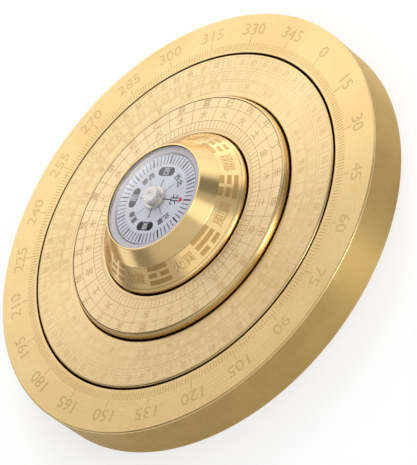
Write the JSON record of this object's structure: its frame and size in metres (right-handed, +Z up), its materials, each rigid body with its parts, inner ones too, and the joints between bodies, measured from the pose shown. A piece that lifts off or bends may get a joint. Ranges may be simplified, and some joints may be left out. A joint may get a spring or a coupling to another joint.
{
  "type": "feng shui compass",
  "caption": "Round turned-brass luopan: fixed degree ring, concentric dial rings and a stepped hub that spin on ball bearings, and a sealed compass with a floating card.",
  "frame": {"origin": "centre of the underside, on the axis that all the rings turn about", "axes": "+Z up along the common axis, +Y towards the zero mark of the outer degree scale"},
  "size_m": [0.088, 0.088, 0.0182],
  "materials": {
    "satin_brass": "fine-turned satin",
    "polished_brass": "polished",
    "steel": "ground",
    "bearing_steel": "lapped",
    "nylon": "moulded",
    "rubber": "matte",
    "grey_plastic": "moulded satin",
    "clear_plastic": "clear, polished",
    "card_white": "printed satin",
    "magnet": "nickel plated",
    "silver_cap": "turned",
    "jewel": "polished"
  },
  "bodies": {
    "base": {"outer_ring": "satin_brass", "base_plate": "satin_brass", "plate_screw_1": "steel", "plate_screw_2": "steel", "plate_screw_3": "steel", "plate_screw_4": "steel", "plate_screw_5": "steel", "plate_screw_6": "steel", "axle_post": "steel", "axle_washer": "steel", "axle_screw": "steel", "lower_spacer": "steel", "upper_spacer": "steel", "middle_bearing_inner_race": "bearing_steel", "inner_bearing_inner_race": "bearing_steel", "hub_bearing_inner_race": "bearing_steel"},
    "middle_ring": {"middle_ring": "satin_brass", "middle_bearing_outer_race": "bearing_steel"},
    "inner_ring": {"inner_ring": "satin_brass", "inner_bearing_outer_race": "bearing_steel"},
    "hub": {"hub_cone": "polished_brass", "hub_bearing_outer_race": "bearing_steel", "capsule_seat_ring": "rubber", "capsule_case": "grey_plastic", "capsule_lens": "clear_plastic", "pivot_pin": "steel"},
    "card": {"compass_card": "card_white", "card_magnet": "magnet", "card_cap": "silver_cap", "pivot_jewel": "jewel"},
    "middle_cage": {"middle_bearing_cage": "nylon", "middle_bearing_ball_1": "bearing_steel", "middle_bearing_ball_2": "bearing_steel", "middle_bearing_ball_3": "bearing_steel", "middle_bearing_ball_4": "bearing_steel", "middle_bearing_ball_5": "bearing_steel", "middle_bearing_ball_6": "bearing_steel", "middle_bearing_ball_7": "bearing_steel"},
    "inner_cage": {"inner_bearing_cage": "nylon", "inner_bearing_ball_1": "bearing_steel", "inner_bearing_ball_2": "bearing_steel", "inner_bearing_ball_3": "bearing_steel", "inner_bearing_ball_4": "bearing_steel", "inner_bearing_ball_5": "bearing_steel", "inner_bearing_ball_6": "bearing_steel", "inner_bearing_ball_7": "bearing_steel"},
    "hub_cage": {"hub_bearing_cage": "nylon", "hub_bearing_ball_1": "bearing_steel", "hub_bearing_ball_2": "bearing_steel", "hub_bearing_ball_3": "bearing_steel", "hub_bearing_ball_4": "bearing_steel", "hub_bearing_ball_5": "bearing_steel", "hub_bearing_ball_6": "bearing_steel", "hub_bearing_ball_7": "bearing_steel"}
  },
  "joints": [
    {"name": "middle_ring_turn", "type": "hinge", "parent": "base", "child": "middle_ring", "pos_m": [0, 0, 0.002], "axis": [0, 0, 1], "continuous": true},
    {"name": "inner_ring_turn", "type": "hinge", "parent": "base", "child": "inner_ring", "pos_m": [0, 0, 0.0049], "axis": [0, 0, 1], "continuous": true},
    {"name": "hub_turn", "type": "hinge", "parent": "base", "child": "hub", "pos_m": [0, 0, 0.0078], "axis": [0, 0, 1], "continuous": true},
    {"name": "card_turn", "type": "hinge", "parent": "hub", "child": "card", "pos_m": [0, 0, 0.0166], "axis": [0, 0, 1], "continuous": true},
    {"name": "middle_cage_turn", "type": "hinge", "parent": "base", "child": "middle_cage", "pos_m": [0, 0, 0.002], "axis": [0, 0, 1], "continuous": true},
    {"name": "inner_cage_turn", "type": "hinge", "parent": "base", "child": "inner_cage", "pos_m": [0, 0, 0.0049], "axis": [0, 0, 1], "continuous": true},
    {"name": "hub_cage_turn", "type": "hinge", "parent": "base", "child": "hub_cage", "pos_m": [0, 0, 0.0078], "axis": [0, 0, 1], "continuous": true}
  ],
  "couplings": [
    {"joint": "middle_cage_turn", "follows": "middle_ring_turn", "ratio": 0.6215},
    {"joint": "inner_cage_turn", "follows": "inner_ring_turn", "ratio": 0.6215},
    {"joint": "hub_cage_turn", "follows": "hub_turn", "ratio": 0.6215}
  ]
}
